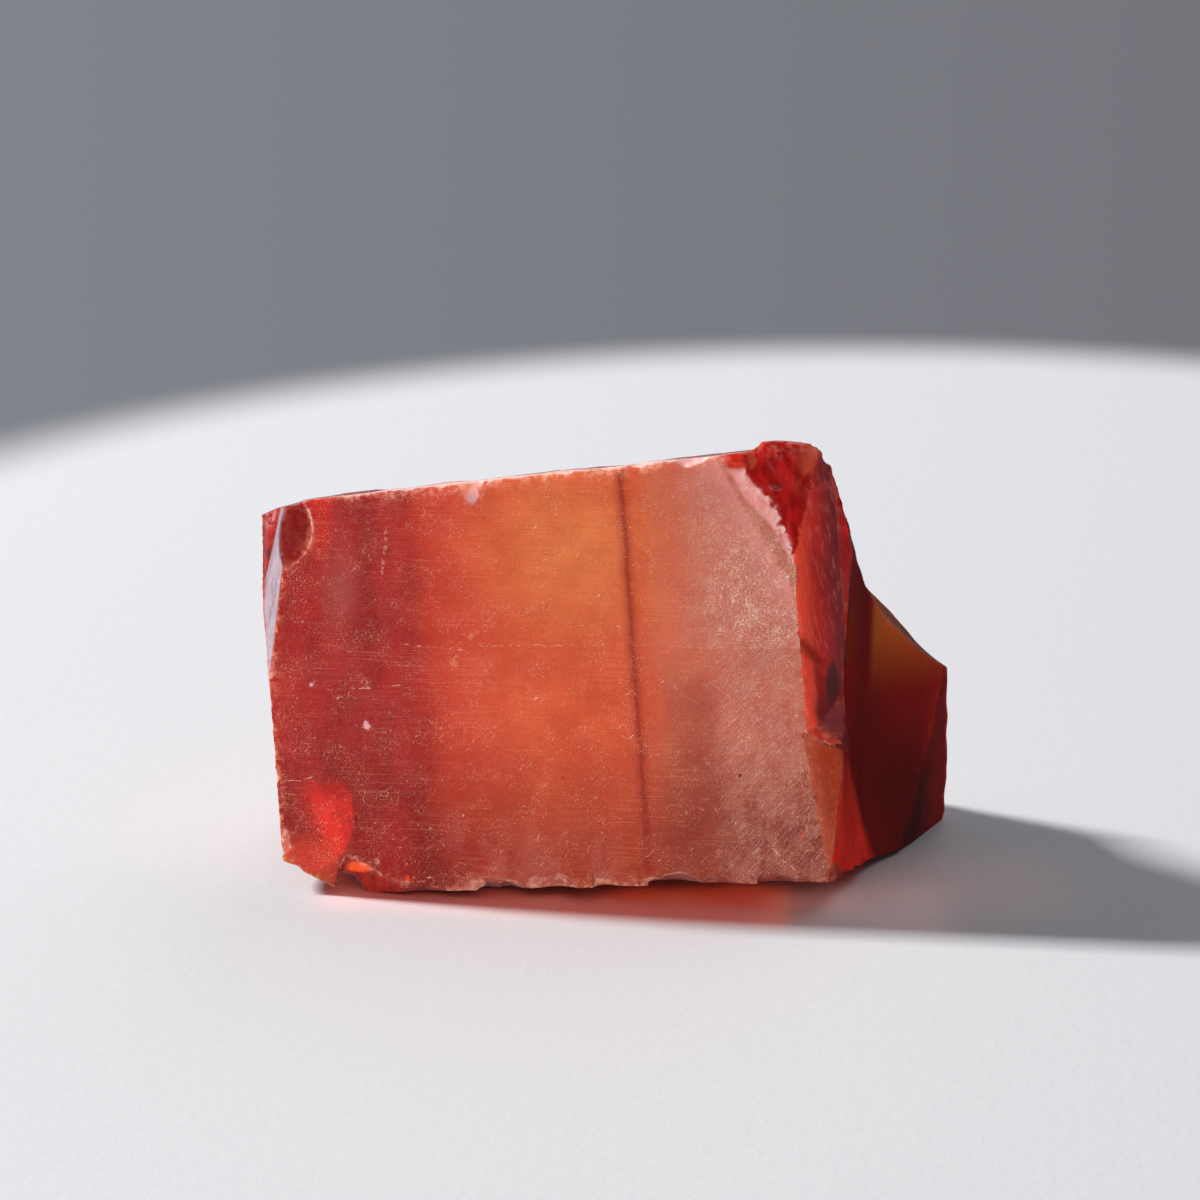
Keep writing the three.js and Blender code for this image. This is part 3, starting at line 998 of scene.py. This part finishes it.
def wall_and_foot(g, deep):
    """The hollow wall: wine red, darker far and low with painted shade, and amber with painted glow
    where its upper edge is thin. Then the foot's red end.
    """
    across, _, rise = g.parts(g.place)
    # Wine red, darker far and low: partly its own colour, partly painted shade.
    colour = g.mix(g.between(across, 17.6, 19.6), tint(140, 28, 26), tint(108, 20, 18))
    far_wall = g.between(g.plus(across, g.times(rise, 0.25)), 20.5, 24.5)
    colour = g.swap(colour, (74, 20, 18), far_wall, g.between(rise, 13.0, 4.0))
    # Painted amber glow, where light shines through the thin upper edge.
    amber_glow = g.times(g.between(across, 20.0, 20.7), g.between(rise, 11.0, 19.5))
    colour = g.swap(colour, (176, 84, 30), amber_glow, 0.95)
    right_edge = g.between(g.plus(across, g.times(g.centred(g.cloud), 1.5)), 24.6, 26.6)
    right_edge = g.times(right_edge, g.between(rise, 15.0, 10.0), 0.9)
    colour = g.swap(colour, (128, 26, 24), right_edge)
    deep = g.mix(g.wall, deep, colour)
    slanted = g.plus(g.depth, g.times(g.height, 0.3), g.times(g.jag, 0.6))
    red_end = g.times(g.either(g.foot, g.wall), g.between(g.height, 13.0, 10.6),
                      g.between(slanted, 9.8, 8.2))
    red = g.mix(g.between(g.height, 3.0, 11.0), tint(232, 40, 26), tint(214, 56, 42))
    return g.mix(red_end, deep, red)


def crumbled_rim(g, colour):
    """Pale flecks along the rim, a crest over its top and a crust at its upper left."""
    left_of_end = g.between(g.x, 13.0, 6.0)
    flecks = g.times(g.between(g.fine, 0.48, 0.6), g.rim,
                     g.plus(0.15, g.times(left_of_end, 0.45)))
    colour = g.swap(colour, (240, 164, 132), flecks)
    crest = g.times(g.between(g.rim, 0.5, 0.8), g.between(g.height, 26.0, 28.0),
                    g.plus(0.15, g.times(g.grains, 0.45)))
    colour = g.swap(colour, (238, 198, 194), crest)
    crust = g.times(g.between(g.rim, 0.05, 0.45), g.crowd, g.between(g.height, 20.0, 26.0),
                    g.between(g.x, -22.6, -21.4), left_of_end)
    return g.swap(colour, (244, 186, 160), crust, g.plus(0.1, g.times(g.grains, 0.5)))


def carnelian():
    g = Stone()
    bands = banding(g)
    sawn_colour, frost_side = frosted(g, glowing(g, bands))
    sawn_colour = lower_left(g, dark_thread(g, sawn_colour))
    marks = saw_marks(g)
    sawn_colour = g.swap(sawn_colour, (250, 200, 170), marks, 0.74)
    sawn_colour = single_marks(g, sawn_colour)

    deep = left_end(g, fractured(g, bands, sawn_colour))
    deep = corner_and_ridge(g, pink_bevel(g, deep))
    deep, mauve = step_and_lip(g, deep)
    deep = wall_and_foot(g, deep)

    sawn = g.between(g.depth, 0.1, 0.04)
    g.put(g.shader.inputs["Base Color"], crumbled_rim(g, g.mix(sawn, deep, sawn_colour)))

    wet = g.plus(
        0.12,
        g.times(g.noise(g.place, 1.5), 0.16),
        g.times(g.edge, 0.12),
        g.times(g.pink, 0.18),
        g.times(g.bruise, 0.3),
        g.times(g.either(g.step_top, mauve), 0.4),
    )
    matt = g.plus(0.42, g.times(marks, 0.2), g.times(frost_side, 0.08))
    g.put(g.shader.inputs["Roughness"], g.node("Mix", {0: sawn, 2: wet, 3: matt}).outputs[0])
    rough_break = g.times(g.noise(g.place, (0.9, 0.9, 1.8), rough=0.6), 3.0)
    relief = g.node("Mix", {0: sawn, 2: rough_break, 3: g.streak}).outputs[0]
    relief = g.plus(relief, g.times(g.fine, 0.5))
    bump = g.node("Bump", {"Strength": 0.3, "Distance": 0.1 * MM, "Height": relief})
    g.put(g.shader.inputs["Normal"], bump.outputs[0])
    g.shader.inputs["IOR"].default_value = 1.54
    g.shader.inputs["Specular IOR Level"].default_value = 0.4
    g.shader.inputs["Subsurface Weight"].default_value = 0.4
    g.shader.inputs["Subsurface Radius"].default_value = (1.0, 0.25, 0.1)
    g.shader.inputs["Subsurface Scale"].default_value = 3 * MM
    return g.owner


stone_mesh.materials.clear()
stone_mesh.materials.append(carnelian())

# ---- table, light and camera ----


def stage_plane(name, size, material):
    mesh = bpy.data.meshes.new(name)
    half = size / 2
    corners = [(-half, -half, 0), (half, -half, 0), (half, half, 0), (-half, half, 0)]
    mesh.from_pydata(corners, [], [(0, 1, 2, 3)])
    mesh.materials.append(material)
    made = bpy.data.objects.new(name, mesh)
    bpy.context.collection.objects.link(made)
    return made


def table_top():
    """White near the stone and fading out along a round edge behind it."""
    g = Graph(bpy.data.materials.new("table"))
    place = g.object_place()
    tooth = g.noise(place, 0.9, 4.0, 0.7)
    g.put(g.shader.inputs["Base Color"], g.mix(tooth, tint(226, 228, 232), tint(234, 235, 239)))
    g.put(g.shader.inputs["Roughness"], 0.7)
    bump = g.node("Bump", {"Strength": 0.2, "Distance": 0.2 * MM, "Height": tooth})
    g.put(g.shader.inputs["Normal"], bump.outputs[0])
    far = g.vector("DISTANCE", place, TABLE_MIDDLE)
    outer, inner = TABLE_RADIUS + TABLE_FADE, TABLE_RADIUS - TABLE_FADE
    g.put(g.shader.inputs["Alpha"], g.between(far, outer, inner))
    return g.owner


table = stage_plane("table", TABLE_SIZE, table_top())
table.visible_glossy = False


def soft_light(name, place, size, power, colour, only=None, shines=True):
    """An area light aimed at the stone, in metres and watts.

    It may light only one object, and may leave no highlights.
    """
    lamp = bpy.data.lights.new(name, "AREA")
    lamp.shape = "RECTANGLE"
    lamp.size, lamp.size_y = size
    lamp.energy = power
    lamp.color = colour
    made = bpy.data.objects.new(name, lamp)
    made.location = place
    made.rotation_euler = (Vector(STONE_HEART) - Vector(place)).to_track_quat("-Z", "Y").to_euler()
    made.visible_camera = False
    made.visible_glossy = shines
    if only:
        lit = bpy.data.collections.new(name + "_lit")
        lit.objects.link(only)
        made.light_linking.receiver_collection = lit
    bpy.context.collection.objects.link(made)
    return made


# The window tilts down to the table without turning to the stone.
window = soft_light("window", WINDOW_AT, (0.53, 0.1), 58, (1.0, 0.99, 0.97))
window.rotation_euler = (-math.atan2(WINDOW_AT[1], WINDOW_AT[2]), 0, 0)
soft_light("ceiling", (0.45, 0.75, 0.85), (0.9, 0.9), 3.2, (0.97, 0.98, 1.0))
soft_light("fill", (-0.15, -0.9, 0.45), (0.8, 0.5), 9, (1.0, 0.99, 0.98), only=stone, shines=False)
card = soft_light("card", (-0.76, -0.21, 0.13), (0.3, 0.3), 1.5, (0.95, 0.95, 1.0), only=stone)
card.visible_diffuse = False

# Light that has come through the stone reddens the table around its foot. These lamps lie in
# and beside the foot, and the stone doesn't block them.
bare = bpy.data.collections.new("glow_blockers")
bare.objects.link(table)
for name, place, size, power, colour in [
    ("glow", (-0.0038, -0.0117, 0.001), (0.0355, 0.0074), 0.00027, RED_GLOW),
    ("blush", (0.0195, -0.011, 0.002), (0.013, 0.009), 0.00005, PINK_GLOW),
    ("foot_blush", (0.016, -0.0095, 0.0015), (0.006, 0.005), 0.000022, PINK_GLOW),
    ("far_blush", (0.0285, -0.006, 0.003), (0.014, 0.01), 0.00003, PINK_GLOW),
    ("tip_blush", (-0.021, -0.0118, 0.0015), (0.005, 0.004), 0.000014, PINK_GLOW),
]:
    glow = soft_light(name, place, size, power, colour, only=table, shines=False)
    glow.rotation_euler = (0, 0, math.radians(-1))
    glow.light_linking.blocker_collection = bare

# The room is dim, and dimmer on the camera's side and at the right.
sky = Graph(bpy.data.worlds.new("room"), "Background")
toward = sky.parts(sky.node("TexCoord", {}).outputs["Generated"])


def fading(axis, start, end):
    """0 to 1 across the sky, along one axis."""
    inputs = {"Value": toward[axis], "From Min": start, "From Max": end}
    return sky.node("MapRange", inputs).outputs[0]


sides = sky.times(fading("X", 0.45, 0.2), fading("X", 1.2, -0.2))
lit = sky.times(fading("Y", -0.5, 0.6), sides)
sky.put(sky.shader.inputs["Color"], sky.mix(lit, tint(46, 44, 46), tint(131, 133, 140)))

scene = bpy.context.scene
scene.world = sky.owner
scene.view_settings.view_transform = "Standard"

camera = bpy.data.objects.new("camera", bpy.data.cameras.new("camera"))
camera.data.lens = LENS
camera.data.sensor_width = SENSOR
camera.data.clip_start = 0.01
up = math.radians(ELEVATION)
roll = math.radians(ROLL)
level = Vector((1, 0, 0))
rise = Vector((0, math.sin(up), math.cos(up)))
right = math.cos(roll) * level + math.sin(roll) * rise
top = math.cos(roll) * rise - math.sin(roll) * level
turned = Matrix((right, top, right.cross(top))).transposed().to_4x4()
camera.matrix_world = Matrix.Translation(Vector(CAMERA_AT) * MM) @ turned
bpy.context.collection.objects.link(camera)
scene.camera = camera
